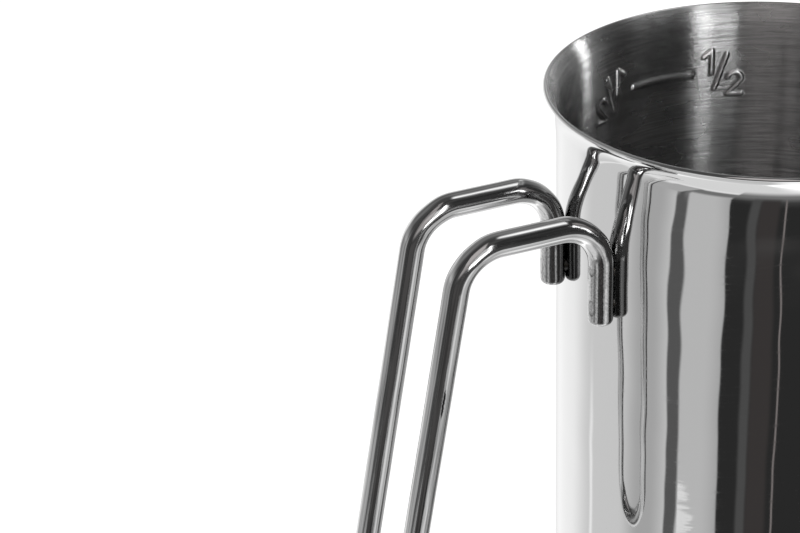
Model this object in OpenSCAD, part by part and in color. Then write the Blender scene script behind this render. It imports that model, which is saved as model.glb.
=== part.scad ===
// Measuring jug in stainless steel, in millimetres.
// A deep-drawn cup with a flared rim, a pressed pouring lip and pressed filling lines carries
// an open handle, which is bent from one round rod and spot-welded to the wall by its two ends.
// The origin is on the jug's axis at the table, +Z is up and the handle points along -X.

/* [Cup] */
// Outside diameter of the straight wall
wall_d = 78; // [66:1:90]
// Thickness of the steel sheet
sheet_t = 0.7; // [0.5:0.05:1.2]
// Outside radius of the corner between the wall and the base
base_corner_r = 6; // [3:0.5:10]
// Width of the flat ring that the jug stands on
stand_w = 5; // [3:0.5:9]
// Height of the raised middle of the base above the ring
base_rise = 0.8; // [0.4:0.1:1.6]
// Width of the slope between the ring and the raised middle
base_slope_w = 1.6; // [1:0.1:3]

/* [Rim] */
// Radius of the flare, on its outer side
flare_r = 6; // [3:0.5:9]
// Angle that the flare turns outwards
flare_angle = 52; // [30:1:70]

/* [Pouring lip] */
// How far the tip of the lip stands out past the wall
lip_reach = 8; // [5:0.5:12]
// Depth below the rim at which the lip starts
lip_depth = 26; // [16:1:40]
// Outside radius of the lip's channel
lip_r = 16; // [10:0.5:22]

/* [Filling lines] */
// Volume at the top line, in millilitres
full_ml = 500; // [350:25:700]
// Number of filling lines, at even steps of volume
line_count = 4; // [2:1:5]
// Height of the rim above the top line
headroom = 13.7; // [11:0.1:24]
// Length of a line along the inside of the wall
line_len = 14.2; // [8:0.1:20]
// Width of a line
line_w = 1.8; // [1.2:0.1:2.4]
// How far a line is pressed in
line_press = 0.4; // [0.2:0.05:0.5]

/* [Handle] */
// Diameter of the rod
rod_d = 4.6; // [3.5:0.1:6]
// Distance between the centre lines of the two legs
leg_gap = 17.8; // [14:0.1:26]
// Depth below the rim of the rod's two ends
end_depth = 34.5; // [32:0.5:44]
// Depth below the rim of the top runs' centre line, where it meets that of the ends
run_depth = 14.8; // [11:0.1:17]
// Distance from the wall to the corner where the top runs' and the legs' centre lines meet
reach = 28.8; // [24:0.1:38]
// Angle by which the top runs rise on their way out
run_rise = 1.1; // [0:0.1:6]
// Angle by which the legs lean out on their way down
leg_lean = 10.9; // [0:0.1:15]
// Height of the underside of the bottom loop above the table
loop_clear = 10.4; // [4:0.1:20]
// Centre-line radius of the bends next to the wall
hook_r = 8.5; // [6:0.5:9]
// Centre-line radius of the bends at the top of the legs
shoulder_r = 8.5; // [6:0.5:12]
// Chamfer on the rod's two ends
end_chamfer = 0.5; // [0.2:0.1:1]
// How much fatter the rod's radius is in a bend than in a straight stretch
bend_swell = 0.02; // [0.02:0.01:0.1]

/* [Welds] */
// Diameter of a weld spot
weld_d = 2.4; // [1.6:0.1:2.8]
// Thickness of a weld spot between the rod and the wall
weld_t = 0.2; // [0.1:0.05:0.4]
// Length of straight rod left beyond a weld spot
weld_margin = 1; // [0.5:0.1:1.5]

/* [Hidden] */
$fn = 128;
// Finer rounding for the weld spots, which are thin between two round surfaces
weld_fn = 256;
eps = 0.01;

wall_ro = wall_d / 2;
wall_ri = wall_ro - sheet_t;
corner_ri = base_corner_r - sheet_t;
stand_ro = wall_ro - base_corner_r;
stand_ri = stand_ro - stand_w;
panel_r = stand_ri - base_slope_w;

// Volume that the rounded corner and the raised middle of the base take up, in cubic millimetres
spandrel_centre = corner_ri * (10 - 3 * PI) / (12 - 3 * PI);
corner_loss = 2 * PI * (wall_ri - spandrel_centre) * pow(corner_ri, 2) * (1 - PI / 4);
rise_loss = PI * pow((panel_r + stand_ri) / 2, 2) * base_rise;
mm3_per_ml = 1000;
line_step = full_ml / line_count;
function fill_height(ml) =
    sheet_t + (ml * mm3_per_ml + corner_loss + rise_loss) / (PI * pow(wall_ri, 2));

jug_h = fill_height(full_ml) + headroom;
flare_mid_r = flare_r + sheet_t / 2;
flare_z = jug_h - sheet_t / 2 - flare_mid_r * sin(flare_angle);
flare_cx = wall_ro + flare_r;
rim_cx = flare_cx - flare_mid_r * cos(flare_angle);
rim_ro = rim_cx + sheet_t / 2;

lip_tilt = atan(lip_reach / lip_depth);
line_angle = line_len / wall_ri * 180 / PI;
line_offset = line_w / 2 - line_press;

rod_r = rod_d / 2;
// A straight stretch runs this far into the bends at its ends
bend_lap = 0.3;
// The rod's ends touch the weld spots, so their centre lines lie on this circle about the jug's axis
end_circle_r = wall_ro + weld_t + rod_r;
end_x = sqrt(pow(end_circle_r, 2) - pow(leg_gap / 2, 2));
end_azimuth = asin(leg_gap / 2 / end_circle_r);
end_z = jug_h - end_depth;
run_z = jug_h - run_depth;
corner_x = wall_ro + reach;
corner_z = run_z + (corner_x - end_x) * tan(run_rise);
loop_z = loop_clear + rod_r + leg_gap / 2 * cos(leg_lean);
hook_turn = 90 - run_rise;
shoulder_turn = 180 - leg_lean - hook_turn;
hook_setback = hook_r * tan(hook_turn / 2);
shoulder_setback = shoulder_r * tan(shoulder_turn / 2);
end_len = run_z - end_z - hook_setback - end_chamfer;
run_len = (corner_x - end_x) / cos(run_rise) - hook_setback - shoulder_setback;
leg_len = (corner_z - loop_z) / cos(leg_lean) - shoulder_setback;
// Heights of the two weld spots on each of the rod's straight ends
weld_low_z = end_z + end_chamfer + weld_margin + weld_d / 2;
weld_high_z = end_z + end_chamfer + end_len - weld_margin - weld_d / 2;

// Half of the cup's section, from the axis outwards
module cup_section() {
    base_section();
    translate([wall_ri, base_corner_r])
        square([sheet_t, flare_z - base_corner_r]);
    corner_section();
    flare_section();
    translate([rim_cx, jug_h - sheet_t / 2])
        circle(d = sheet_t);
}

// The standing ring, the slope and the raised middle
module base_section() {
    polygon([
        [0, base_rise],
        [panel_r, base_rise],
        [stand_ri, 0],
        [stand_ro, 0],
        [stand_ro, sheet_t],
        [stand_ri, sheet_t],
        [panel_r, base_rise + sheet_t],
        [0, base_rise + sheet_t]
    ]);
}

// The rounded corner between the base and the wall
module corner_section() {
    translate([stand_ro, base_corner_r])
        intersection() {
            difference() {
                circle(r = base_corner_r);
                circle(r = corner_ri);
            }
            translate([0, -base_corner_r])
                square(base_corner_r);
        }
}

// The sheet as it turns outwards at the rim
module flare_section() {
    far = 2 * (flare_r + sheet_t);
    translate([flare_cx, flare_z])
        intersection() {
            difference() {
                circle(r = flare_r + sheet_t);
                circle(r = flare_r);
            }
            polygon([
                [0, 0],
                [-far, 0],
                [-far, far * tan(flare_angle / 2)],
                [-far * cos(flare_angle), far * sin(flare_angle)]
            ]);
        }
}

// A round bar that leans out through the wall, with its outer side at the tip of the lip
module lip_bar(r) {
    over = lip_depth;
    translate([wall_ro, 0, jug_h - lip_depth])
        rotate([0, lip_tilt, 0])
            translate([-lip_r, 0, -lip_depth / 2])
                cylinder(r = r, h = lip_depth * 2 + over);
}

// The sheet of the pouring lip, outside the cup's bore and below the rim
module lip_shell() {
    intersection() {
        lip_bar(lip_r);
        translate([0, -lip_r, 0])
            cube([wall_ro + lip_reach + lip_r, 2 * lip_r, jug_h]);
    }
}

// One filling line's bar, at a height and with its inner side pressed in from a wall surface
module line_bar(surface_r, height, limit_r) {
    rotate([0, 0, 90 - line_angle / 2])
        rotate_extrude(angle = line_angle)
            intersection() {
                translate([surface_r + line_offset, height])
                    circle(d = line_w);
                translate([0, height - line_w])
                    square([limit_r, 2 * line_w]);
            }
}

module jug_body() {
    color("gainsboro")
        difference() {
            union() {
                rotate_extrude()
                    cup_section();
                difference() {
                    lip_shell();
                    cylinder(r = wall_ri + sheet_t / 2, h = jug_h + eps);
                }
                for (i = [1 : line_count])
                    line_bar(wall_ri, fill_height(i * line_step), wall_ri + sheet_t / 2);
            }
            lip_bar(lip_r - sheet_t);
            for (i = [1 : line_count])
                line_bar(wall_ro, fill_height(i * line_step), wall_ro + line_w);
        }
}

// A straight stretch of rod along +Z, after which the next stretch follows
module feed(length, lap_before = bend_lap, lap_after = bend_lap) {
    translate([0, 0, -lap_before])
        cylinder(r = rod_r, h = lap_before + length + lap_after);
    translate([0, 0, length])
        children();
}

// A bend of the rod towards +X, after which the next stretch follows
module bend(bend_r, turn) {
    translate([bend_r, 0, 0])
        rotate([90, 0, 180])
            rotate_extrude(angle = turn)
                translate([bend_r, 0])
                    circle(r = rod_r + bend_swell);
    translate([bend_r, 0, 0])
        rotate([0, turn, 0])
            translate([-bend_r, 0, 0])
                children();
}

// A turn of the bending plane about the rod
module roll(angle) {
    rotate([0, 0, angle])
        children();
}

// The chamfered end that the rod starts with
module first_end() {
    cylinder(r1 = rod_r - end_chamfer, r2 = rod_r, h = end_chamfer);
    translate([0, 0, end_chamfer])
        children();
}

// The chamfered end that the rod finishes with
module last_end() {
    cylinder(r1 = rod_r, r2 = rod_r - end_chamfer, h = end_chamfer);
}

module handle_rod() {
    color("silver")
        translate([-end_x, leg_gap / 2, end_z])
            roll(180)
                first_end()
                feed(end_len, lap_before = 0)
                bend(hook_r, hook_turn)
                feed(run_len)
                bend(shoulder_r, shoulder_turn)
                feed(leg_len)
                roll(90)
                bend(leg_gap / 2, 180)
                roll(-90)
                feed(leg_len)
                bend(shoulder_r, shoulder_turn)
                feed(run_len)
                bend(hook_r, hook_turn)
                feed(end_len, lap_after = 0)
                last_end();
}

// One weld spot, cut to the rod on one side and to the wall on the other
module weld_spot(azimuth, height) {
    rotate([0, 0, 180 + azimuth])
        translate([0, 0, height])
            difference() {
                rotate([0, 90, 0])
                    cylinder(d = weld_d, h = end_circle_r, $fn = weld_fn);
                translate([0, 0, -weld_d])
                    cylinder(r = wall_ro, h = 2 * weld_d, $fn = weld_fn);
                translate([end_circle_r, 0, -weld_d])
                    cylinder(r = rod_r, h = 2 * weld_d, $fn = weld_fn);
            }
}

module weld_spots() {
    color("darkgray")
        for (side = [-1, 1], height = [weld_low_z, weld_high_z])
            weld_spot(side * end_azimuth, height);
}

jug_body();
handle_rod();
weld_spots();
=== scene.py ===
"""Measuring jug in stainless steel: a deep-drawn cup with a bent rod handle, in a pale studio."""

import logging
import math
from dataclasses import dataclass, field
from enum import Enum
from typing import Final

import bmesh
import bpy
import numpy as np
from mathutils import Matrix, Quaternion, Vector, noise


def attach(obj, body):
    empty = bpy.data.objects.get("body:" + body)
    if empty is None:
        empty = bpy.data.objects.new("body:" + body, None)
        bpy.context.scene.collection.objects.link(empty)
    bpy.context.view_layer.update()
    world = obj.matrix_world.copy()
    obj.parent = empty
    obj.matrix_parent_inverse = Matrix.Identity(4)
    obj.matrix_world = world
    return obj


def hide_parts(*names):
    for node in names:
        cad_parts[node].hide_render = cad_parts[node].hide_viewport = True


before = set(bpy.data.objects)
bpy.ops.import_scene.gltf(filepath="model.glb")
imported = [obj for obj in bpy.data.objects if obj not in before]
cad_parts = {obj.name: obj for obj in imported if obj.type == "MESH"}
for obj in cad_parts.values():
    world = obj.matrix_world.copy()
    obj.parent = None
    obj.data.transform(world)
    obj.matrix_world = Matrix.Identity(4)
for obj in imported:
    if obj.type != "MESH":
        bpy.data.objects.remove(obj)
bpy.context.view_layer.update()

log = logging.getLogger("measuring_jug")

# Sizes are written in millimetres, and a finished mesh is scaled to metres once.
MM: Final[float] = 0.001
BODY: Final[str] = "root"
UP: Final[Vector] = Vector((0.0, 0.0, 1.0))
# Two lengths that differ by less than this count as the same.
NEAR: Final[float] = 0.01


class SheetSide(Enum):
    """The two faces of the cup's sheet, by the place of their finish in the material list."""

    OUTSIDE = 0
    INSIDE = 1


class Fraction(Enum):
    """The fractions of a litre beside the filling lines, lowest first."""

    EIGHTH = "1/8"
    QUARTER = "1/4"
    THREE_EIGHTHS = "3/8"
    HALF = "1/2"


Socket = bpy.types.NodeSocket
Piece = bpy.types.Object
Mesh = bmesh.types.BMesh
Triple = tuple[float, float, float]
Colour = tuple[float, float, float, float]
Link = Socket | float | tuple[float, ...]
Inputs = dict[str | int, Link]
Polyline = list[tuple[float, float]]


@dataclass(frozen=True)
class Grain:
    """Noise with its own scale along each axis, in cycles per metre, and a slant about y, in radians."""

    scale: Triple
    detail: float = 2.0
    roughness: float = 0.5
    slant: float = 0.0


class NodeDesk:
    """Lays out the nodes of one material or world."""

    def __init__(self, tree: bpy.types.NodeTree) -> None:
        """Clear a node tree and keep it."""
        tree.nodes.clear()
        self.tree = tree

    def add(self, kind: str, inputs: Inputs | None = None, **settings: object) -> bpy.types.Node:
        """Add a node.

        Args:
            kind: the node's type.
            inputs: values or sockets to put into its inputs.
            settings: the node's own properties.

        Returns:
            The new node.
        """
        node = self.tree.nodes.new(kind)
        for name, value in settings.items():
            setattr(node, name, value)
        for key, value in (inputs or {}).items():
            self.put(node.inputs[key], value)
        return node

    def put(self, socket: Socket, value: Link) -> None:
        """Link a socket to another, or set its value.

        Args:
            socket: the input.
            value: what goes into it.
        """
        if isinstance(value, Socket):
            self.tree.links.new(value, socket)
        else:
            socket.default_value = value

    def math(self, operation: str, *terms: Link) -> Socket:
        """Work out a number with a Math node."""
        return self.add("ShaderNodeMath", dict(enumerate(terms)), operation=operation).outputs[0]

    def vector(self, operation: str, *terms: Link) -> Socket:
        """Work out a vector, or the number that a dot product or a distance gives."""
        node = self.add("ShaderNodeVectorMath", dict(enumerate(terms)), operation=operation)
        return node.outputs["Value" if operation in ("DOT_PRODUCT", "DISTANCE") else "Vector"]

    def swing(self, noise_value: Link, reach: Link) -> Socket:
        """Centre noise on zero and scale it."""
        return self.math("MULTIPLY", self.math("SUBTRACT", noise_value, 0.5), reach)

    def measure(self, name: str) -> Socket:
        """Read a number that the mesh carries at its points."""
        return self.add("ShaderNodeAttribute", attribute_name=name).outputs["Fac"]

    def place(self) -> Socket:
        """Read the place on the object."""
        return self.add("ShaderNodeTexCoord").outputs["Object"]

    def ramp(self, value: Link, low: float, high: float, out_low: float = 0.0,
             out_high: float = 1.0) -> Socket:
        """Map a range of a number onto another, clamped and with eased ends."""
        ends = {0: value, 1: low, 2: high, 3: out_low, 4: out_high}
        return self.add("ShaderNodeMapRange", ends, interpolation_type="SMOOTHSTEP").outputs[0]

    def grain(self, coords: Socket, cut: Grain) -> Socket:
        """Make noise from 0 to 1.

        Args:
            coords: the coordinates.
            cut: the noise's scale, detail and slant.

        Returns:
            The noise.
        """
        turn = (0.0, cut.slant, 0.0)
        turned = self.add("ShaderNodeMapping", {"Vector": coords, "Rotation": turn}).outputs[0]
        scaled = self.add("ShaderNodeMapping", {"Vector": turned, "Scale": cut.scale}).outputs[0]
        inputs = {"Vector": scaled, "Scale": 1.0, "Detail": cut.detail, "Roughness": cut.roughness}
        return self.add("ShaderNodeTexNoise", inputs).outputs[0]

    def mix(self, share: Link, first: Link, second: Link) -> Socket:
        """Mix two colours by the share of the second."""
        return self.add("ShaderNodeMix", {0: share, 6: first, 7: second}, data_type="RGBA").outputs[2]

    def bump(self, height: Socket, depth: float) -> Socket:
        """Turn a height into a normal, where a height of 1 stands for a depth in metres."""
        return self.add("ShaderNodeBump", {"Height": height, "Distance": depth, "Strength": 1.0}).outputs[0]


def grey(level: float) -> Colour:
    """Give a neutral colour of one level."""
    return (level, level, level, 1.0)


@dataclass(frozen=True)
class Finish:
    """A metal finish, with its name and its main values."""

    name: str
    level: float
    roughness: float

    def shade(self, share: float) -> Colour:
        """Give the finish's grey at a share of its level."""
        return grey(self.level * share)

    def material(self) -> bpy.types.Material:
        """Make the finish's material.

        Returns:
            The material, with a metal shader on its output.
        """
        made = bpy.data.materials.new(self.name)
        made.use_nodes = True
        desk = NodeDesk(made.node_tree)
        shader = desk.add("ShaderNodeBsdfPrincipled", {"Metallic": 1.0} | self.looks(desk))
        desk.add("ShaderNodeOutputMaterial", {"Surface": shader.outputs[0]})
        return made

    def looks(self, desk: NodeDesk) -> Inputs:
        """Lay out the finish's own detail.

        Args:
            desk: the material's nodes.

        Returns:
            What goes into the metal shader.
        """
        raise NotImplementedError


@dataclass(frozen=True)
class MirrorSteel(Finish):
    """Buffed steel of the cup's outside, with polishing haze, fine hairlines and one small rubbed patch."""

    haze: float = 0.06
    tone: float = 0.01
    peel_depth: float = 0.000002
    patch_grain: Grain = Grain((60, 60, 35), 3.0)
    hair_grain: Grain = Grain((160, 160, 3000), 2.0, 0.6, 0.25)
    rub_grain: Grain = Grain((160, 160, 1500), 2.0, 0.6, 0.25)
    rub_micro: Grain = Grain((200, 200, 90000), 1.0)
    rub_azimuth: float = -144.6
    rub_place: Triple = (-0.03179, -0.02259, 0.049)
    rub_reach: float = 0.0044
    rub_edge: float = 0.0003
    rub_squeeze: float = 0.3
    rub_weight: float = 0.4
    rub_tilt: float = 0.2

    def looks(self, desk: NodeDesk) -> Inputs:
        """Lay out haze in patches, hairlines, a faint unevenness and the rubbed patch.

        Args:
            desk: the material's nodes.

        Returns:
            What goes into the metal shader.
        """
        place = desk.place()
        patches = desk.grain(place, self.patch_grain)
        hairs = desk.ramp(desk.grain(place, self.hair_grain), 0.5, 0.72)
        haze = desk.math("MULTIPLY", desk.ramp(patches, 0.35, 0.65), hairs)
        bent = desk.vector("ADD", desk.bump(patches, self.peel_depth), self.rub(desk, place))
        return {
            "Base Color": desk.mix(patches, self.shade(1.0 - self.tone), self.shade(1.0 + self.tone)),
            "Roughness": desk.math("MULTIPLY_ADD", haze, self.haze, self.roughness),
            "Normal": desk.vector("NORMALIZE", bent),
        }

    def rub(self, desk: NodeDesk, place: Socket) -> Socket:
        """Make the small rubbed patch low on the wall, whose fine strokes tilt down to the pale table.

        Args:
            desk: the material's nodes.
            place: the place on the cup.

        Returns:
            The tilt, to be added to the normal.
        """
        squeeze = (1.0, 1.0, self.rub_squeeze)
        middle = tuple(Vector(self.rub_place) * Vector(squeeze))
        apart = desk.vector("DISTANCE", desk.vector("MULTIPLY", place, squeeze), middle)
        near = desk.ramp(apart, 0.0, self.rub_reach, 1.0, 0.0)
        edge = math.radians(self.rub_azimuth)
        aside = desk.vector("DOT_PRODUCT", place, (-math.sin(edge), math.cos(edge), 0.0))
        inside = desk.math("MULTIPLY", desk.ramp(aside, 0.0, self.rub_edge), desk.ramp(near, 0.0, 0.3))
        strokes = desk.math("MULTIPLY_ADD", near, self.rub_weight, desk.grain(place, self.rub_grain))
        lit = desk.math("MULTIPLY", desk.ramp(strokes, 0.5, 0.76), inside)
        micro = desk.ramp(desk.grain(place, self.rub_micro), 0.3, 0.7)
        fall = desk.math("MULTIPLY", desk.math("LESS_THAN", micro, lit), -self.rub_tilt)
        return desk.add("ShaderNodeCombineXYZ", {2: fall}).outputs[0]


@dataclass(frozen=True)
class BrushedSteel(Finish):
    """Steel of the cup's inside, brushed round the wall, so that lights stretch up and down, with a painted
    highlight in the grey of the pressed strokes.
    """

    press_name: str = "pressed"
    # Share by which the pressed strokes' grey is raised: a painted highlight for the light that their faces
    # don't catch.
    press_painted_highlight: float = 1.5
    press_calm: float = 0.45
    stretch: float = 1.0
    micro_tilt: float = 4.0
    line_tilt: float = 0.06
    side_tilt: float = 0.075
    line_contrast: float = 0.17
    wear: float = 0.15
    micro_grain: Grain = Grain((200, 200, 400000), 1.0, 0.5, 0.012)
    fine_grain: Grain = Grain((40, 40, 2400), 2.0, 0.6, -0.012)
    dash_grain: Grain = Grain((800, 800, 4400), 2.0, 0.6, 0.012)
    line_grain: Grain = Grain((100, 100, 3400), 3.0, 0.6, 0.012)
    patch_grain: Grain = Grain((70, 70, 160), 3.0)

    def looks(self, desk: NodeDesk) -> Inputs:
        """Lay out brush lines that run round the axis, turn the highlight across them, and paint the pressed
        strokes a lighter grey as a painted highlight.

        Args:
            desk: the material's nodes.

        Returns:
            What goes into the metal shader.
        """
        place = desk.place()
        normal = desk.add("ShaderNodeNewGeometry").outputs["Normal"]
        pressed = desk.measure(self.press_name)
        out = desk.vector("MULTIPLY", place, (1.0, 1.0, 0.0))
        aside = desk.vector("NORMALIZE", desk.vector("CROSS_PRODUCT", (0.0, 0.0, 1.0), out))
        small = desk.swing(desk.grain(place, self.micro_grain), self.micro_tilt)
        large = desk.swing(desk.grain(place, self.fine_grain), self.line_tilt)
        kept = desk.ramp(pressed, 0.0, 0.5, 1.0, self.press_calm)
        rise = desk.math("MULTIPLY", desk.math("ADD", small, large), kept)
        lift = desk.add("ShaderNodeCombineXYZ", {2: rise}).outputs[0]
        turn = desk.swing(desk.grain(place, self.dash_grain), self.side_tilt)
        sway = desk.add("ShaderNodeVectorMath", {0: aside, "Scale": turn}, operation="SCALE").outputs[0]
        bent = desk.vector("ADD", normal, desk.vector("ADD", lift, sway))
        patches = desk.grain(place, self.patch_grain)
        fresh = self.roughness * (1.0 - self.wear)
        worn = self.roughness * (1.0 + self.wear)
        tone = desk.ramp(desk.grain(place, self.line_grain), 0.32, 0.68)
        brushed = desk.mix(tone, self.shade(1.0 - self.line_contrast), self.shade(1.0 + self.line_contrast))
        return {
            # Painted highlight: the pressed strokes get a lighter grey than the brushed wall.
            "Base Color": desk.mix(pressed, brushed, self.shade(self.press_painted_highlight)),
            "Roughness": desk.ramp(patches, 0.3, 0.7, fresh, worn),
            "Anisotropic": self.stretch,
            "Tangent": desk.vector("NORMALIZE", desk.vector("CROSS_PRODUCT", normal, aside)),
            "Normal": desk.vector("NORMALIZE", bent),
        }


@dataclass(frozen=True)
class DrawnSteel(Finish):
    """Polished steel of the rod, with drawing lines along it, dull marks of the welding electrode and painted
    shade where its ends face the wall.
    """

    coords_name: str = "rod_coords"
    mark_name: str = "electrode"
    rim_name: str = "electrode_rim"
    heat_name: str = "weld_heat"
    # Mask of painted shade on the side of each rod end that faces the wall, in the gap.
    wall_gap_shade_name: str = "wall_gap_shade"
    line_grain: Grain = Grain((2400, 2400, 45), 3.0, 0.6)
    grit_grain: Grain = Grain((4200, 4200, 2600), 2.0, 0.6)
    wear_grain: Grain = Grain((500, 500, 160), 3.0, 0.6)
    line_depth: float = 0.000014
    grit_height: float = 0.8
    line_shade: float = 0.55
    pit_shade: float = 0.2
    pit_share: float = 0.45
    # Grey of that painted shade, as a share of the level.
    wall_gap_shade_level: float = 0.3
    rim_shade: float = 0.25
    smooth_share: float = 0.7
    scored_share: float = 1.5
    wear_dulling: float = 0.05
    heat_dulling: float = 0.05
    mark_dulling: float = 0.2
    seam_grain: Grain = Grain((0, 0, 1500), 2.0, 0.7)
    seam_aside: float = -0.0002
    seam_along: float = 0.2207
    seam_half: float = 0.0036
    seam_width: float = 0.00024
    seam_soft: float = 0.4
    seam_jag: float = 0.0006
    seam_shade: float = 0.03

    def looks(self, desk: NodeDesk) -> Inputs:
        """Lay out drawing lines, faint wear, the electrode's marks, the seam and painted shade on the side of
        each rod end that faces the wall.

        Args:
            desk: the material's nodes.

        Returns:
            What goes into the metal shader.
        """
        along = desk.add("ShaderNodeAttribute", attribute_name=self.coords_name).outputs["Vector"]
        heat = desk.measure(self.heat_name)
        wall_gap_shade = desk.measure(self.wall_gap_shade_name)
        lines = desk.grain(along, self.line_grain)
        grit = desk.grain(along, self.grit_grain)
        worn = desk.ramp(desk.grain(along, self.wear_grain), 0.45, 0.75)
        smooth, scored = self.roughness * self.smooth_share, self.roughness * self.scored_share
        rough = desk.ramp(lines, 0.35, 0.7, smooth, scored)
        marks = desk.measure(self.mark_name)
        dullings = ((worn, self.wear_dulling), (heat, self.heat_dulling), (marks, self.mark_dulling))
        for share, dulling in dullings:
            rough = desk.math("MULTIPLY_ADD", share, dulling, rough)
        bare = desk.math("MAXIMUM", desk.math("SUBTRACT", heat, wall_gap_shade), 0.0)
        layers = (
            (desk.ramp(lines, 0.42, 0.68), self.line_shade),
            (desk.math("MULTIPLY", desk.ramp(grit, 0.4, 0.64, 0.0, self.pit_share), bare), self.pit_shade),
            # Painted shade: the side of each end that faces the wall is darkened.
            (wall_gap_shade, self.wall_gap_shade_level),
            (desk.measure(self.rim_name), self.rim_shade),
            (self.seam(desk, along), self.seam_shade),
        )
        colour: Link = self.shade(1.0)
        for share, level in layers:
            colour = desk.mix(share, colour, self.shade(level))
        height = desk.math("MULTIPLY_ADD", desk.math("MULTIPLY", grit, bare), self.grit_height, lines)
        return {"Base Color": colour, "Roughness": rough, "Normal": desk.bump(height, self.line_depth)}

    def seam(self, desk: NodeDesk, along: Socket) -> Socket:
        """Mark the short jagged seam that drawing left in one leg.

        Args:
            desk: the material's nodes.
            along: coordinates that follow the rod.

        Returns:
            How much of the seam shows.
        """
        parts = desk.add("ShaderNodeSeparateXYZ", {0: along}).outputs
        jag = desk.swing(desk.grain(along, self.seam_grain), self.seam_jag)
        middle = desk.math("ADD", jag, self.seam_aside)
        gap = desk.math("ABSOLUTE", desk.math("SUBTRACT", parts["X"], middle))
        reach = desk.math("ABSOLUTE", desk.math("SUBTRACT", parts["Z"], self.seam_along))
        width = desk.ramp(reach, self.seam_half * self.seam_soft, self.seam_half, self.seam_width, 0.0)
        share = desk.ramp(desk.math("SUBTRACT", width, gap), 0.0, self.seam_width * self.seam_soft)
        return desk.math("MULTIPLY", share, desk.math("LESS_THAN", parts["Y"], 0.0))


@dataclass(frozen=True)
class WeldMetal(Finish):
    """Melted metal of the weld spots, a near-black grey that is painted shade of the narrow gap between rod
    and wall, with a faint straw tint.
    """

    tint: Colour = (0.08, 0.066, 0.052, 1.0)
    mottle_grain: Grain = Grain((1600, 1600, 1600), 4.0, 0.6)
    skin_depth: float = 0.00004
    uneven: float = 0.2

    def looks(self, desk: NodeDesk) -> Inputs:
        """Lay out a mottled tint and a rough skin.

        Args:
            desk: the material's nodes.

        Returns:
            What goes into the metal shader.
        """
        mottle = desk.grain(desk.place(), self.mottle_grain)
        return {
            "Base Color": desk.mix(desk.ramp(mottle, 0.35, 0.65), grey(self.level), self.tint),
            "Roughness": desk.ramp(mottle, 0.3, 0.7, self.roughness * (1.0 - self.uneven),
                                   self.roughness * (1.0 + self.uneven)),
            "Normal": desk.bump(mottle, self.skin_depth),
        }


MIRROR_STEEL: Final = MirrorSteel("mirror_steel", level=0.64, roughness=0.035)
BRUSHED_STEEL: Final = BrushedSteel("brushed_steel", level=0.5, roughness=0.25)
DRAWN_STEEL: Final = DrawnSteel("drawn_steel", level=0.6, roughness=0.09)
# The weld spots' low level is painted shade: they sit in the dark gap between the rod's ends and the wall.
WELD_METAL: Final = WeldMetal("weld_metal", level=0.1, roughness=0.5)


def clamp(value: float) -> float:
    """Keep a number between 0 and 1."""
    return min(max(value, 0.0), 1.0)


def points_of(parts: list) -> list[bmesh.types.BMVert]:
    """Pick the points out of what an operator made."""
    return [part for part in parts if isinstance(part, bmesh.types.BMVert)]


def piece_from(mesh: Mesh, name: str) -> Piece:
    """Scale a finished mesh to metres and make it an object at the origin.

    Args:
        mesh: the mesh, in millimetres, which is freed.
        name: the piece's name.

    Returns:
        The object, in the scene and smooth-shaded.
    """
    bmesh.ops.scale(mesh, vec=(MM, MM, MM), verts=mesh.verts)
    data = bpy.data.meshes.new(name)
    mesh.to_mesh(data)
    mesh.free()
    data.shade_smooth()
    made = bpy.data.objects.new(name, data)
    bpy.context.scene.collection.objects.link(made)
    return made


def hand_in(made: Piece, node: str) -> None:
    """Let a piece ride on the jug in place of a CAD node.

    Args:
        made: the piece.
        node: the CAD node that it stands for.
    """
    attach(made, BODY)
    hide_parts(node)
    log.info("%s: %d faces, stands for %s", made.name, len(made.data.polygons), node)


class SectionPen:
    """Draws a half section in the XZ plane, in millimetres, to be spun round the axis."""

    def __init__(self, x: float, z: float, side: SheetSide) -> None:
        """Put the pen down.

        Args:
            x: distance from the axis.
            z: height.
            side: the face of the sheet that is drawn first.
        """
        self.mesh = bmesh.new()
        self.sides = self.mesh.verts.layers.int.new("side")
        self.side = side
        self.tip = self.mesh.verts.new((x, 0.0, z))
        self.tip[self.sides] = side.value

    def line(self, x: float, z: float, steps: int = 1) -> None:
        """Draw a straight stretch.

        Args:
            x: distance of its end from the axis.
            z: height of its end.
            steps: number of edges.
        """
        start = self.tip.co.copy()
        for step in range(1, steps + 1):
            self.tip = bmesh.ops.extrude_vert_indiv(self.mesh, verts=[self.tip])["verts"][0]
            self.tip.co = start.lerp(Vector((x, 0.0, z)), step / steps)
            self.tip[self.sides] = self.side.value

    def arc(self, x: float, z: float, turn: float, steps: int) -> None:
        """Draw an arc about a centre, by degrees that are positive from up towards outwards."""
        spun = bmesh.ops.spin(self.mesh, geom=[self.tip], cent=(x, 0.0, z), axis=(0.0, 1.0, 0.0),
                              angle=math.radians(turn), steps=steps)
        self.tip = points_of(spun["geom_last"])[0]


def bow(x: float, y: float, rx: float, ry: float, start: float, end: float, steps: int = 14) -> Polyline:
    """Give points along an ellipse, by its centre, its half sizes and two angles in degrees."""
    angles = [math.radians(start + (end - start) * step / steps) for step in range(steps + 1)]
    return [(x + rx * math.cos(angle), y + ry * math.sin(angle)) for angle in angles]


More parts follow.
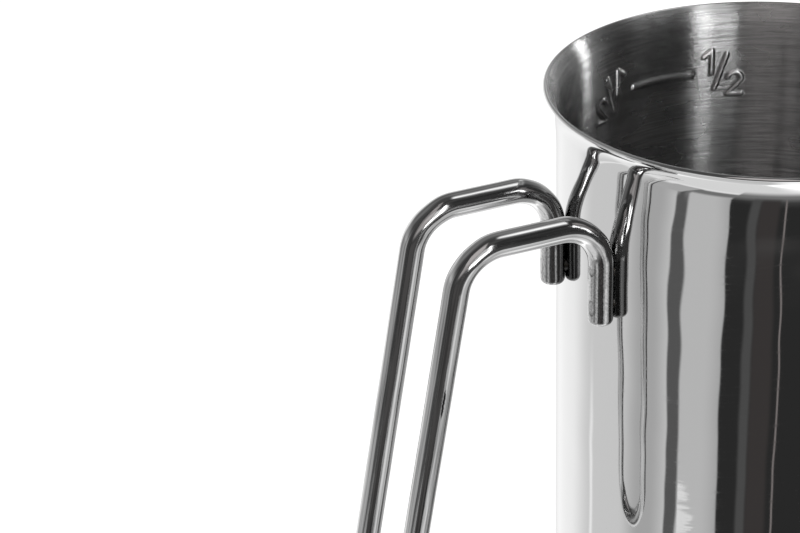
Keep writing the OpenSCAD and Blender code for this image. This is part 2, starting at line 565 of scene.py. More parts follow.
# Each numeral's strokes in a cell one wide and one high.
NUMERALS: Final[dict[str, list[Polyline]]] = {
    "1": [[(0.15, 0.76), (1.0, 1.0), (1.0, 0.0)]],
    "2": [bow(0.5, 0.74, 0.5, 0.26, 170.0, -25.0) + [(0.0, 0.0), (1.0, 0.0)]],
    "3": [bow(0.45, 0.76, 0.5, 0.24, 150.0, -90.0), bow(0.45, 0.26, 0.55, 0.26, 90.0, -150.0)],
    "4": [[(1.0, 0.28), (0.0, 0.28), (0.72, 1.0), (0.72, 0.0)]],
    "8": [bow(0.5, 0.76, 0.44, 0.24, 0.0, 360.0, 24), bow(0.5, 0.26, 0.5, 0.26, 0.0, 360.0, 24)],
}


# The share of a ridge's half width that its flank takes.
RIDGE_FLANK: Final[float] = 0.82


@dataclass
class PressMark:
    """A filling line with its fraction at both ends, pressed inwards, as strokes on the wall."""

    fraction: Fraction
    height: float
    offset: float = 0.45
    line_half: float = 6.5
    line_reach: float = 1.0
    line_press: float = 0.4
    stroke_reach: float = 0.68
    stroke_press: float = 0.3
    top_cell: tuple[float, float, float, float] = (8.9, -0.15, 2.0, 4.75)
    low_cell: tuple[float, float, float, float] = (14.25, -4.85, 2.8, 4.6)
    slash: Polyline = field(default_factory=lambda: [(11.55, -3.5), (13.95, 3.7)])

    def strokes(self) -> list[Polyline]:
        """List the fraction's strokes on the right and their mirror images on the left.

        Returns:
            Strokes as points across and up from the middle of the line.
        """
        top, low = self.fraction.value.split("/")
        right = [self.slash]
        for numeral, cell in ((top, self.top_cell), (low, self.low_cell)):
            x, y, width, height = cell
            right += [[(x + width * a, y + height * b) for a, b in stroke] for stroke in NUMERALS[numeral]]
        return right + [[(-a, b) for a, b in stroke] for stroke in right]

    @staticmethod
    def distance(points: np.ndarray, strokes: list[Polyline]) -> np.ndarray:
        """Measure how far points lie from the nearest stroke.

        Args:
            points: rows of across and up.
            strokes: the strokes.

        Returns:
            A distance for each row.
        """
        nearest = np.full(len(points), np.inf)
        for stroke in strokes:
            for first, last in zip(stroke[:-1], stroke[1:]):
                start = np.array(first)
                run = np.array(last) - start
                share = np.clip((points - start) @ run / max(float(run @ run), 1e-9), 0.0, 1.0)
                gap = np.linalg.norm(points - start - share[:, None] * run, axis=1)
                nearest = np.minimum(nearest, gap)
        return nearest

    def gaps(self, points: np.ndarray) -> tuple[np.ndarray, np.ndarray]:
        """Measure how far rows of across and up lie from the line and from the fractions."""
        line = [[(-self.line_half, 0.0), (self.line_half, 0.0)]]
        return self.distance(points, line), self.distance(points, self.strokes())

    def press(self, points: np.ndarray) -> np.ndarray:
        """Work out how far the sheet is pressed in at rows of across and up."""
        line, stroke = self.gaps(points)
        return np.maximum(self.line_press * self.ridge(line, self.line_reach),
                          self.stroke_press * self.ridge(stroke, self.stroke_reach))

    @staticmethod
    def ridge(gap: np.ndarray, reach: float) -> np.ndarray:
        """Give a ridge's height from 0 to 1: a rounded top, steep sides and a narrow fillet at its foot."""
        share = np.clip((1.0 - gap / reach) / RIDGE_FLANK, 0.0, 1.0)
        return share**1.5 * (2.5 - 1.5 * share)

    def near(self, points: np.ndarray, margin: float) -> np.ndarray:
        """Tell which rows of across and up lie within a margin of the mark."""
        line, stroke = self.gaps(points)
        return (line < self.line_reach + margin) | (stroke < self.stroke_reach + margin)


@dataclass
class Cup:
    """The deep-drawn cup: base, wall, flared rim, pouring lip and pressed filling lines."""

    wall_ro: float = 39.0
    sheet_t: float = 0.7
    base_corner_r: float = 6.0
    stand_ri: float = 28.0
    panel_r: float = 26.4
    base_rise: float = 0.8
    flare_r: float = 6.0
    flare_angle: float = 52.0
    jug_h: float = 123.607
    lip_reach: float = 8.0
    lip_depth: float = 26.0
    lip_r: float = 16.0
    lip_ease: float = 3.0
    line_heights: tuple[float, ...] = (28.53, 55.66, 82.78, 109.906)
    columns: int = 192
    wall_rows: int = 90
    fine_cuts: int = 7
    plain_cuts: int = 4
    mark_band: float = 8.0
    mark_margin: float = 0.9
    base_bevel: float = 0.5
    lead_in: float = 8.0
    lead_reach: float = 0.4
    fade_reach: float = 8.0
    wave: float = 0.1
    wave_length: float = 17.0
    wave_stretch: float = 1.5
    ripple: float = 0.05
    ripple_length: float = 7.0
    calm_from: float = 75.0
    calm_share: float = 0.45
    weld_azimuth: float = 12.4
    weld_height: float = 96.0
    weld_pull: float = 0.09
    weld_reach: float = 4.5
    weld_stretch: float = 1.5

    @property
    def wall_ri(self) -> float:
        """Radius of the wall's inner face."""
        return self.wall_ro - self.sheet_t

    @property
    def flare_x(self) -> float:
        """Distance of the flare's centre from the axis."""
        return self.wall_ro + self.flare_r

    @property
    def flare_z(self) -> float:
        """Height at which the flare starts."""
        middle = self.flare_r + self.sheet_t / 2.0
        return self.jug_h - self.sheet_t / 2.0 - middle * math.sin(math.radians(self.flare_angle))

    def section(self) -> Mesh:
        """Draw the half section, from the middle of the underside round the rim to the middle of the floor.

        Returns:
            A mesh with the section's edges.
        """
        stand_ro = self.wall_ro - self.base_corner_r
        turn = math.radians(self.flare_angle)
        edge_r = self.flare_r + self.sheet_t / 2.0
        pen = SectionPen(0.0, self.base_rise, SheetSide.OUTSIDE)
        pen.line(self.panel_r, self.base_rise, 14)
        pen.line(self.stand_ri, 0.0, 2)
        pen.line(stand_ro, 0.0, 4)
        pen.arc(stand_ro, self.base_corner_r, -90.0, 12)
        pen.line(self.wall_ro, self.flare_z, self.wall_rows)
        pen.arc(self.flare_x, self.flare_z, self.flare_angle, 12)
        pen.arc(self.flare_x - edge_r * math.cos(turn), self.flare_z + edge_r * math.sin(turn), -180.0, 10)
        pen.side = SheetSide.INSIDE
        pen.tip[pen.sides] = pen.side.value
        pen.arc(self.flare_x, self.flare_z, -self.flare_angle, 12)
        pen.line(self.wall_ri, self.base_corner_r, self.wall_rows)
        pen.arc(stand_ro, self.base_corner_r, 90.0, 12)
        pen.line(self.stand_ri, self.sheet_t, 4)
        pen.line(self.panel_r, self.base_rise + self.sheet_t, 2)
        pen.line(0.0, self.base_rise + self.sheet_t, 14)
        return pen.mesh

    def spin_up(self) -> Mesh:
        """Spin the section into a closed shell and round the steps of the base.

        Returns:
            The shell.
        """
        mesh = self.section()
        bmesh.ops.spin(mesh, geom=mesh.verts[:] + mesh.edges[:], cent=(0.0, 0.0, 0.0), axis=UP,
                       angle=math.tau, steps=self.columns, use_merge=True)
        bmesh.ops.remove_doubles(mesh, verts=mesh.verts, dist=0.0001)
        bmesh.ops.recalc_face_normals(mesh, faces=mesh.faces)
        sides = mesh.verts.layers.int["side"]
        for face in mesh.faces:
            face.material_index = round(sum(vert[sides] for vert in face.verts) / len(face.verts))
        steps = [edge for edge in mesh.edges if self.is_base_step(edge)]
        bmesh.ops.bevel(mesh, geom=steps, offset=self.base_bevel, offset_type="OFFSET", segments=3,
                        profile=0.5, affect="EDGES", material=-1)
        mesh.verts.layers.int.remove(sides)
        return mesh

    def is_base_step(self, edge: bmesh.types.BMEdge) -> bool:
        """Tell whether an edge lies on a ring where the base changes slope.

        Args:
            edge: the edge.

        Returns:
            True on the four rings of the slope.
        """
        reaches = [vert.co.xy.length for vert in edge.verts]
        level = abs(edge.verts[0].co.z - edge.verts[1].co.z) < NEAR
        rings = (self.panel_r, self.stand_ri)
        return level and any(all(abs(reach - ring) < NEAR for reach in reaches) for ring in rings)

    def marks(self) -> list[PressMark]:
        """List the filling lines with their fractions."""
        return [PressMark(fraction, height) for fraction, height in zip(Fraction, self.line_heights)]

    def across(self, places: np.ndarray, mark: PressMark) -> np.ndarray:
        """Turn places on the wall into rows of across, to the right as seen from inside, and up on a mark."""
        across = self.wall_ri * np.arctan2(places[:, 0], places[:, 1]) - mark.offset
        return np.stack([across, places[:, 2] - mark.height], axis=1)

    def refine(self, mesh: Mesh) -> None:
        """Divide the faces near the marks, finest where the mark shows most.

        Args:
            mesh: the cup's shell.
        """
        for mark in self.marks():
            for side in SheetSide:
                top = mark.fraction is Fraction.HALF and side is SheetSide.INSIDE
                wall_r = self.wall_ri if side is SheetSide.INSIDE else self.wall_ro
                near = [face for face in mesh.faces if face.material_index == side.value
                        and face.calc_center_median().y > 0.5 * wall_r
                        and abs(face.calc_center_median().z - mark.height) < self.mark_band]
                centres = np.array([face.calc_center_median() for face in near])
                chosen = mark.near(self.across(centres, mark), self.mark_margin)
                edges = {edge for face, keep in zip(near, chosen) if keep for edge in face.edges}
                made = bmesh.ops.subdivide_edges(mesh, edges=list(edges), use_grid_fill=True,
                                                 cuts=self.fine_cuts if top else self.plain_cuts)
                for vert in set(points_of(made["geom"])):
                    vert.co.xy = vert.co.xy.normalized() * wall_r

    def press_in(self, mesh: Mesh) -> None:
        """Press the marks inwards through both faces of the sheet.

        Args:
            mesh: the cup's shell.
        """
        pressed = mesh.verts.layers.float.new(BRUSHED_STEEL.press_name)
        low, high = self.base_corner_r, self.flare_z
        wall = [vert for vert in mesh.verts if low < vert.co.z < high and vert.co.y > 0.0]
        places = np.array([vert.co for vert in wall])
        depth = np.zeros(len(wall))
        for mark in self.marks():
            depth = np.maximum(depth, mark.press(self.across(places, mark)))
        for vert, press in zip(wall, depth):
            if press > 0.0:
                vert.co.xy *= 1.0 - press / vert.co.xy.length
                vert[pressed] = min(press / PressMark.stroke_press, 1.0)

    def lip_radius(self, azimuth: float, z: float) -> float:
        """Work out how far the lip's channel reaches from the axis.

        Args:
            azimuth: direction from the axis, in radians.
            z: height.

        Returns:
            The distance, or 0 where the channel isn't met.
        """
        tilt = math.atan(self.lip_reach / self.lip_depth)
        along = Vector((math.sin(tilt), 0.0, math.cos(tilt)))
        middle = Vector((self.wall_ro - self.lip_r * math.cos(tilt), 0.0,
                         self.jug_h - self.lip_depth + self.lip_r * math.sin(tilt)))
        out = Vector((math.cos(azimuth), math.sin(azimuth), 0.0))
        start = Vector((0.0, 0.0, z)) - middle
        ray = out - along * out.dot(along)
        rest = start - along * start.dot(along)
        a, b, c = ray.dot(ray), ray.dot(rest), rest.dot(rest) - self.lip_r**2
        under = b * b - a * c
        return (math.sqrt(under) - b) / a if under > 0.0 else 0.0

    def shape_sheet(self, mesh: Mesh) -> None:
        """Pull out the pouring lip and give the wall the slight waves of drawn sheet.

        Args:
            mesh: the cup's shell.
        """
        low = self.jug_h - self.lip_depth - self.lip_ease
        for vert in mesh.verts:
            reach = vert.co.xy.length
            if vert.co.z < self.base_corner_r or reach < 1.0:
                continue
            shift = self.waves(vert.co) + self.lead_shift(vert.co.z) + self.weld_shift(vert.co)
            if vert.co.x > 0.0 and vert.co.z > low:
                shift += self.lip_shift(math.atan2(vert.co.y, vert.co.x), vert.co.z)
            vert.co.xy *= 1.0 + shift / reach

    def lead_shift(self, z: float) -> float:
        """Work out how far the wall already leans out below the flare, where drawn sheet starts to turn.

        Args:
            z: height.

        Returns:
            The shift outwards, which fades again up to the rim.
        """
        if z < self.flare_z:
            return self.lead_reach * max(1.0 - (self.flare_z - z) / self.lead_in, 0.0) ** 2
        share = min((z - self.flare_z) / (self.jug_h - self.flare_z), 1.0)
        carry = self.lead_reach * (self.jug_h - self.flare_z) / self.lead_in
        return (self.lead_reach + carry) * (1.0 - share**2) - carry * (1.0 - share) ** 2

    def lip_shift(self, azimuth: float, z: float) -> float:
        """Work out how far the sheet is pulled out into the lip, eased at its edge.

        Args:
            azimuth: direction from the axis, in radians.
            z: height.

        Returns:
            The shift.
        """
        rise = max(z - self.flare_z, 0.0)
        plain = self.flare_x - math.sqrt(max(self.flare_r**2 - rise**2, 0.0))
        gap = self.lip_radius(azimuth, z) - plain
        share = clamp(0.5 + 0.5 * gap / self.lip_ease)
        return share * gap + self.lip_ease * share * (1.0 - share)

    def waves(self, place: Vector) -> float:
        """Give the sheet's slight unevenness at a place.

        Args:
            place: a point on the wall.

        Returns:
            The shift outwards.
        """
        room = min(place.z - self.base_corner_r, max(self.jug_h - place.z, 0.0))
        fade = min(1.0, room / self.fade_reach)
        rise = clamp((place.z - self.calm_from) / (self.flare_z - self.calm_from))
        calm = self.calm_share + (1.0 - self.calm_share) * rise * rise * (3.0 - 2.0 * rise)
        flat = Vector((place.x, place.y, place.z))
        flat.xy = flat.xy.normalized() * self.wall_ro
        ripple = self.ripple * noise.noise(flat / self.ripple_length)
        flat.z /= self.wave_stretch
        return fade * calm * (ripple + self.wave * noise.noise(flat / self.wave_length))

    def weld_shift(self, place: Vector) -> float:
        """Work out how far the welds have drawn the sheet towards the rod's ends.

        Args:
            place: a point on the wall.

        Returns:
            The shift outwards.
        """
        azimuth = math.degrees(abs(math.atan2(place.y, place.x)))
        aside = self.wall_ro * math.radians(180.0 - azimuth - self.weld_azimuth)
        above = (place.z - self.weld_height) / self.weld_stretch
        return self.weld_pull * math.exp(-(aside**2 + above**2) / self.weld_reach**2)

    def build(self) -> None:
        """Build and dress the cup."""
        mesh = self.spin_up()
        self.refine(mesh)
        self.press_in(mesh)
        self.shape_sheet(mesh)
        made = piece_from(mesh, "cup")
        made.data.materials.append(MIRROR_STEEL.material())
        made.data.materials.append(BRUSHED_STEEL.material())
        hand_in(made, "jug_body")


class RodBender:
    """Feeds and bends a round rod in millimetres, one stretch after another."""

    def __init__(self, radius: float, segments: int) -> None:
        """Start with the rod's end, which looks along +Z.

        Args:
            radius: the rod's radius.
            segments: sides of its section.
        """
        self.mesh = bmesh.new()
        self.coords = self.mesh.verts.layers.float_vector.new(DRAWN_STEEL.coords_name)
        self.outward = self.mesh.verts.layers.float_vector.new("outward")
        self.front = bmesh.ops.create_circle(self.mesh, radius=radius, segments=segments)["verts"]
        for vert in self.front:
            vert[self.coords] = vert.co * MM
        self.first = list(self.front)
        self.place = Matrix.Identity(4)
        self.fed = 0.0

    def rim(self, verts: list[bmesh.types.BMVert]) -> list[bmesh.types.BMEdge]:
        """List the edges between the points of one ring."""
        around = {edge for vert in verts for edge in vert.link_edges}
        return [edge for edge in around if set(verts).issuperset(edge.verts)]

    def mark_length(self, length: float) -> None:
        """Note how much rod lies behind the front ring.

        Args:
            length: length of the last step.
        """
        self.fed += length
        for vert in self.front:
            vert[self.coords].z = self.fed * MM

    def feed(self, length: float, steps: int) -> None:
        """Push out a straight stretch.

        Args:
            length: its length.
            steps: number of rings.
        """
        heading = self.place.to_3x3() @ UP
        for _ in range(steps):
            grown = bmesh.ops.extrude_edge_only(self.mesh, edges=self.rim(self.front))["geom"]
            self.front = points_of(grown)
            bmesh.ops.translate(self.mesh, verts=self.front, vec=heading * (length / steps))
            self.mark_length(length / steps)
            for vert in self.front:
                vert[self.outward] = (0.0, 0.0, 0.0)
        self.place = self.place @ Matrix.Translation((0.0, 0.0, length))

    def bend(self, radius: float, turn: float, steps: int) -> None:
        """Bend the rod towards its own +X.

        Args:
            radius: radius of the centre line.
            turn: degrees.
            steps: number of rings.
        """
        axis = self.place.to_3x3() @ Vector((0.0, 1.0, 0.0))
        centre = self.place @ Vector((radius, 0.0, 0.0))
        away = self.place.to_3x3() @ Vector((-1.0, 0.0, 0.0))
        for step in range(1, steps + 1):
            spun = bmesh.ops.spin(self.mesh, geom=self.front + self.rim(self.front), cent=centre, axis=axis,
                                  angle=math.radians(turn / steps), steps=1)["geom_last"]
            self.front = points_of(spun)
            self.mark_length(radius * math.radians(turn / steps))
            out = Quaternion(axis, math.radians(turn * step / steps)) @ away
            for vert in self.front:
                vert[self.outward] = out * math.sin(math.pi * step / steps)
        shift = Matrix.Translation((radius, 0.0, 0.0))
        self.place = self.place @ shift @ Matrix.Rotation(math.radians(turn), 4, "Y") @ shift.inverted()

    def work_surface(self, flat: float, dent: float, grain: float, size: float) -> None:
        """Flatten the outer side of each bend and make the rod slightly uneven, more so in the bends.

        Args:
            flat: how far the outer side of a bend is flattened.
            dent: height of the unevenness in a bend.
            grain: height of the unevenness elsewhere.
            size: width of the unevenness.
        """
        self.mesh.normal_update()
        shifts = []
        for vert in self.mesh.verts:
            bent = vert[self.outward].length
            side = max(vert.normal.dot(vert[self.outward]), 0.0)
            rough = (grain + dent * bent) * noise.noise(vert.co / size)
            shifts.append(vert.normal * (rough - flat * side * side))
        for vert, shift in zip(self.mesh.verts, shifts):
            vert.co += shift

    def roll(self, angle: float) -> None:
        """Turn the bending plane about the rod by an angle in degrees."""
        self.place = self.place @ Matrix.Rotation(math.radians(angle), 4, "Z")

    def close(self, rounding: float) -> None:
        """Cap both ends and round their edges.

        Args:
            rounding: radius of the rounding.
        """
        for ring in (self.first, self.front):
            edges = self.rim(ring)
            bmesh.ops.edgeloop_fill(self.mesh, edges=edges)
            bmesh.ops.bevel(self.mesh, geom=edges, offset=rounding, offset_type="OFFSET", segments=4,
                            profile=0.5, affect="EDGES", material=-1)
        bmesh.ops.recalc_face_normals(self.mesh, faces=self.mesh.faces)


@dataclass
class HandleRod:
    """The handle: one round rod bent into two hooks, two top runs, two legs and a loop."""

    rod_r: float = 2.3
    leg_gap: float = 17.8
    end_x: float = 40.37
    end_z: float = 88.457
    end_len: float = 12.012
    end_rounding: float = 0.95
    first_feed: float = 1.2
    run_len: float = 11.776
    leg_len: float = 82.35
    hook_r: float = 8.5
    hook_turn: float = 88.9
    shoulder_r: float = 8.5
    shoulder_turn: float = 80.2
    electrode_heights: tuple[float, float] = (92.1, 100.1)
    electrode_w: float = 1.6
    electrode_h: float = 3.0
    electrode_dish: float = -0.06
    electrode_edge: float = 1.15
    electrode_soft: float = 0.3
    rim_middle: float = 0.95
    rim_reach: float = 0.22
    # How fast the painted shade grows towards the wall side of an end.
    wall_gap_shade_gain: float = 3.0
    slack: float = 0.1
    heat_reach: float = 20.0
    bend_flat: float = 0.16
    bend_dent: float = 0.09
    run_dent: float = 0.02
    dent_size: float = 3.4
    segments: int = 64

    def half(self, rod: RodBender, forward: bool) -> None:
        """Make one side of the handle.

        Args:
            rod: the rod so far.
            forward: True from the wall to the loop, False back from the loop to the wall.
        """
        stretches = [
            lambda: rod.feed(self.first_feed, 1),
            lambda: rod.feed(self.end_len - self.first_feed, 42),
            lambda: rod.bend(self.hook_r, self.hook_turn, 24),
            lambda: rod.feed(self.run_len, 8),
            lambda: rod.bend(self.shoulder_r, self.shoulder_turn, 24),
            lambda: rod.feed(self.leg_len, 20),
        ]
        for stretch in stretches if forward else reversed(stretches):
            stretch()

    def press_electrodes(self, mesh: Mesh) -> None:
        """Flatten the ovals where the welding electrode pressed on the rod, opposite the weld spots, and mark
        the side of each end that faces the wall for painted shade.

        Args:
            mesh: the rod, in place.
        """
        marks = mesh.verts.layers.float.new(DRAWN_STEEL.mark_name)
        rims = mesh.verts.layers.float.new(DRAWN_STEEL.rim_name)
        wall_gap_shade = mesh.verts.layers.float.new(DRAWN_STEEL.wall_gap_shade_name)
        flat = math.sqrt(self.rod_r**2 - (self.electrode_w / 2.0) ** 2) - self.electrode_dish
        for side in (1.0, -1.0):
            axis = Vector((-self.end_x, side * self.leg_gap / 2.0, 0.0))
            out = axis.normalized()
            aside = UP.cross(out)
            for vert in mesh.verts:
                arm = vert.co - axis
                arm.z = 0.0
                if arm.length > self.rod_r + self.slack or vert.co.z > self.end_z + self.end_len:
                    continue
                # Painted shade: darkest on the side of the end that faces the wall.
                vert[wall_gap_shade] = clamp(-self.wall_gap_shade_gain * arm.dot(out) / self.rod_r)
                for height in self.electrode_heights:
                    oval = math.hypot(arm.dot(aside) / (self.electrode_w / 2.0),
                                      (vert.co.z - height) / (self.electrode_h / 2.0))
                    share = clamp((self.electrode_edge - oval) / self.electrode_soft)
                    if arm.dot(out) > 0.0 and share > 0.0:
                        vert.co += out * share * min(flat - arm.dot(out), 0.0)
                        vert[marks] = share
                        vert[rims] = max(1.0 - abs(oval - self.rim_middle) / self.rim_reach, 0.0)

    def mark_heat(self, rod: RodBender) -> None:
        """Mark the two ends of the rod, which the welding left duller.

        Args:
            rod: the whole rod.
        """
        heat = rod.mesh.verts.layers.float.new(DRAWN_STEEL.heat_name)
        for vert in rod.mesh.verts:
            fed = vert[rod.coords].z / MM
            reach = min(fed, rod.fed - fed) / self.heat_reach
            vert[heat] = clamp(2.0 - 2.0 * reach)

    def build(self) -> None:
        """Build and dress the handle."""
        rod = RodBender(self.rod_r, self.segments)
        self.half(rod, True)
        rod.roll(90.0)
        rod.bend(self.leg_gap / 2.0, 180.0, 40)
        rod.roll(-90.0)
        self.half(rod, False)
        rod.close(self.end_rounding)
        rod.work_surface(self.bend_flat, self.bend_dent, self.run_dent, self.dent_size)
        self.mark_heat(rod)
        start = Matrix.Translation((-self.end_x, self.leg_gap / 2.0, self.end_z))
        bmesh.ops.transform(rod.mesh, matrix=start @ Matrix.Rotation(math.pi, 4, "Z"), verts=rod.mesh.verts)
        self.press_electrodes(rod.mesh)
        made = piece_from(rod.mesh, "handle")
        made.data.materials.append(DRAWN_STEEL.material())
        hand_in(made, "handle_rod")


@dataclass
class WeldSpots:
    """The four weld spots between the rod's ends and the wall, which stay as the CAD model has them."""

    node: str = "weld_spots"

    def dress(self) -> None:
        """Give the weld spots their finish, whose near-black grey is painted shade."""
        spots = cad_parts[self.node]
        finish = WELD_METAL.material()
        for place in spots.material_slots:
            place.material = finish
        log.info("%s: CAD node with the finish %s", self.node, finish.name)


# How much more blue than green a warm light loses.
WARM_BLUE: Final[float] = 1.15


@dataclass(frozen=True)
class Panel:
    """A soft-edged field of light or shade round the jug, by direction in degrees."""

    azimuth: float
    width: float
    low: float
    high: float
    level: float
    side_edge: float = 3.0
    end_edge: float = 6.0
    warmth: float = 0.0
    lean: float = 0.0
    pivot: float = -29.0

    def colour(self) -> Colour:
        """Give the panel's light, a little warm where it isn't neutral."""
        green, blue = 1.0 - self.warmth, 1.0 - WARM_BLUE * self.warmth
        return (self.level, self.level * green, self.level * blue, 1.0)


# A row holds azimuth, width, low, high and level, and where they differ from the usual ones
# side_edge, end_edge, warmth, lean and pivot. A later panel covers an earlier one.
PANELS: Final[tuple[Panel, ...]] = (
    # The pale backdrop, which fades into the ceiling
    Panel(70, 170, -5, 60, 0.28, 40, 30),
    Panel(92, 176, -120, 16, 0.84, 30, 30),
    # The pale table all round
    Panel(0, 720, -120, -24, 0.85, 6, 5),
    Panel(97, 44, -120, 10, 1.2, 24, 20),
    Panel(172, 22, -48, -20, 0.55, 16, 6),
    Panel(150, 66, -20, 6, 0.5, 30, 10),
    Panel(3, 72, -46, -18, 0.22, 16, 6),
    # The table close to the jug
    Panel(0, 720, -120, -51, 1.45, 6, 8),
    Panel(0, 720, -120, -66, 1.9, 6, 10),
    Panel(190, 150, -120, -52, 1, 40, 8),
    # Cards and flags beside the camera
    Panel(190.4, 10.2, -50, 20, 0.13, 1.6, 4, 0, -0.05),
    Panel(205, 30, -50, -36, 0.24, 2.5, 4),
    Panel(205.5, 25, -41, -20, 0.7, 2, 5, 0, 0.05),
    Panel(222, 16, -41, -20, 0.5, 16, 5),
    Panel(178, 18, -51, -36.5, 0.57, 2, 3, 0, -0.5, -36),
    Panel(240.4, 50, -56, -36, 0.25, 2, 14, 0, -0.2),
    Panel(240.6, 50, -42, 0, 0.033, 1.2, 12, 0, -0.2),
    Panel(229.5, 5.4, -42, 0, 0.1, 2.5, 12, 0, -0.2),
    Panel(237.7, 11, -42, 0, 0.058, 3, 12, 0.1, -0.2),
    Panel(247.4, 0.9, -42, 0, 0.28, 0.5, 12, 0.1, -0.1),
    Panel(240.4, 50, -26, 0, 0.1, 2, 5, 0.03),
    Panel(295, 52, -50, -26, 0.66, 8, 4),
    Panel(290, 18, -50, -26, 1.05, 6, 4),
    Panel(130, 2.6, -60, -31, 1.2, 2.4, 4),
    # The lights that the brushed inside picks up
    Panel(235, 38, 10, 80, 0.5, 4, 10, 0.05),
    Panel(235, 38, 30, 80, 0.66, 4, 14, 0.05),
    Panel(269, 26, 2, 42, 1, 2, 8),
    Panel(275, 5.4, 2, 46, 6, 2, 10),
    Panel(267.4, 25, 4, 17, 6.8, 2, 6),
    Panel(-44, 60, 2, 52, 0.05, 10, 10),
    Panel(-44, 8, 8, 40, 0.15, 5, 10),
    Panel(-6, 5, 2, 13, 6.5, 2, 4),
    Panel(-3, 5, 11, 21, 10, 2, 4),
    Panel(2, 5, 19, 30, 11, 2, 4),
    # The softbox overhead
    Panel(-3, 42, 53, 72, 1.7, 36, 8),
)


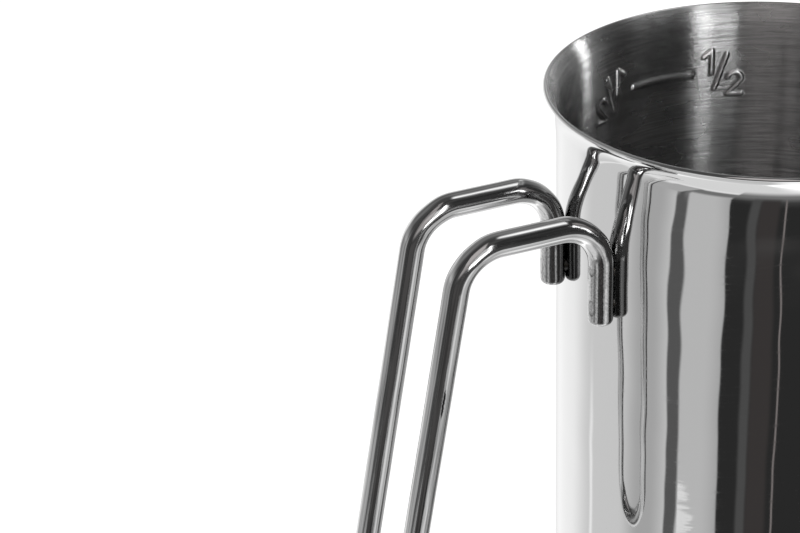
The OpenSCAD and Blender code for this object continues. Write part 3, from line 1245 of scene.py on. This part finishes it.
@dataclass
class Studio:
    """The pale floor, the soft light and the camera."""

    eye: Triple = (-208.78, -298.06, 275.92)
    look_at: Triple = (-46.07, 65.67, 66.81)
    roll: float = -2.15
    lens: float = 95.445
    sensor: float = 36.0
    room_level: float = 0.09
    floor_size: float = 6000.0
    floor_glow: float = 0.74
    floor_albedo: float = 0.4
    floor_mottle: float = 0.02
    floor_grain: Grain = Grain((9.0, 9.0, 9.0), 3.0)
    lamp_place: Triple = (120.0, 160.0, 900.0)
    lamp_size: float = 700.0
    lamp_watts: float = 5.0

    def camera(self) -> None:
        """Set up the camera at the photograph's angle."""
        data = bpy.data.cameras.new("camera")
        data.sensor_fit = "HORIZONTAL"
        data.sensor_width = self.sensor
        data.lens = self.lens
        data.clip_start = 0.01
        made = bpy.data.objects.new("camera", data)
        eye = Vector(self.eye) * MM
        aim = (Vector(self.look_at) * MM - eye).to_track_quat("-Z", "Y")
        made.rotation_mode = "QUATERNION"
        made.rotation_quaternion = aim @ Quaternion(UP, math.radians(self.roll))
        made.location = eye
        bpy.context.scene.collection.objects.link(made)
        bpy.context.scene.camera = made

    def floor(self) -> None:
        """Lay the floor, which is white to the camera and keeps the jug's shadow."""
        mesh = bmesh.new()
        bmesh.ops.create_grid(mesh, x_segments=8, y_segments=8, size=self.floor_size / 2.0)
        made = piece_from(mesh, "floor")
        paint = bpy.data.materials.new("pale_floor")
        paint.use_nodes = True
        desk = NodeDesk(paint.node_tree)
        mottle = desk.grain(desk.place(), self.floor_grain)
        low = self.floor_albedo * (1.0 - self.floor_mottle)
        high = self.floor_albedo * (1.0 + self.floor_mottle)
        albedo = desk.ramp(mottle, 0.3, 0.7, low, high)
        matt = desk.add("ShaderNodeBsdfDiffuse", {"Color": albedo})
        path = desk.add("ShaderNodeLightPath")
        seen = desk.math("MULTIPLY", path.outputs["Is Camera Ray"], self.floor_glow)
        glow = desk.add("ShaderNodeEmission", {"Strength": seen})
        both = desk.add("ShaderNodeAddShader", {0: matt.outputs[0], 1: glow.outputs[0]})
        desk.add("ShaderNodeOutputMaterial", {"Surface": both.outputs[0]})
        made.data.materials.append(paint)
        made.visible_glossy = False

    def lamp(self) -> None:
        """Hang the soft lamp that casts the jug's shadow."""
        data = bpy.data.lights.new("soft_lamp", "AREA")
        data.size = self.lamp_size * MM
        data.energy = self.lamp_watts
        made = bpy.data.objects.new("soft_lamp", data)
        made.location = Vector(self.lamp_place) * MM
        made.rotation_mode = "QUATERNION"
        made.rotation_quaternion = (-made.location).to_track_quat("-Z", "Y")
        made.visible_glossy = False
        bpy.context.scene.collection.objects.link(made)

    def surroundings(self) -> None:
        """Make the studio that the steel mirrors, with plain white behind the jug for the camera."""
        world = bpy.data.worlds.new("studio")
        world.use_nodes = True
        desk = NodeDesk(world.node_tree)
        look = desk.add("ShaderNodeTexCoord").outputs["Generated"]
        height = desk.add("ShaderNodeSeparateXYZ", {0: look}).outputs["Z"]
        rise = desk.math("ARCSINE", height)
        colour: Link = grey(self.room_level)
        for panel in PANELS:
            colour = desk.mix(self.panel_share(desk, panel, look, rise), colour, panel.colour())
        path = desk.add("ShaderNodeLightPath")
        shown = desk.mix(path.outputs["Is Camera Ray"], colour, grey(1.0))
        light = desk.add("ShaderNodeBackground", {"Color": shown, "Strength": 1.0})
        desk.add("ShaderNodeOutputWorld", {"Surface": light.outputs[0]})
        bpy.context.scene.world = world

    @staticmethod
    def panel_share(desk: NodeDesk, panel: Panel, look: Socket, rise: Socket) -> Socket:
        """Work out how much of a panel shows in a direction.

        Args:
            desk: the world's nodes.
            panel: the panel.
            look: the direction.
            rise: its elevation, in radians.

        Returns:
            A share from 0 to 1.
        """
        middle = math.radians(panel.azimuth)
        ahead = desk.vector("DOT_PRODUCT", look, (math.cos(middle), math.sin(middle), 0.0))
        aside = desk.vector("DOT_PRODUCT", look, (-math.sin(middle), math.cos(middle), 0.0))
        turn = desk.math("ARCTAN2", aside, ahead)
        if panel.lean:
            drift = desk.math("MULTIPLY", desk.math("SUBTRACT", rise, math.radians(panel.pivot)), panel.lean)
            turn = desk.math("SUBTRACT", turn, drift)
        turn = desk.math("ABSOLUTE", turn)
        half, soft = math.radians(panel.width) / 2.0, math.radians(panel.side_edge) / 2.0
        sides = desk.ramp(turn, half - soft, half + soft, 1.0, 0.0)
        low, high = math.radians(panel.low), math.radians(panel.high)
        ease = math.radians(panel.end_edge) / 2.0
        above = desk.ramp(rise, low - ease, low + ease)
        below = desk.ramp(rise, high - ease, high + ease, 1.0, 0.0)
        return desk.math("MULTIPLY", sides, desk.math("MULTIPLY", above, below))

    def build(self) -> None:
        """Set up the whole studio."""
        scene = bpy.context.scene
        scene.view_settings.view_transform = "Standard"
        self.camera()
        self.floor()
        self.lamp()
        self.surroundings()
        log.info("studio: camera, floor, lamp and %d panels", len(PANELS))


def main() -> None:
    """Build the jug and its studio, and report each piece."""
    logging.basicConfig(level=logging.INFO, format="%(name)s: %(message)s")
    Studio().build()
    Cup().build()
    HandleRod().build()
    WeldSpots().dress()


if __name__ == "__main__":
    main()
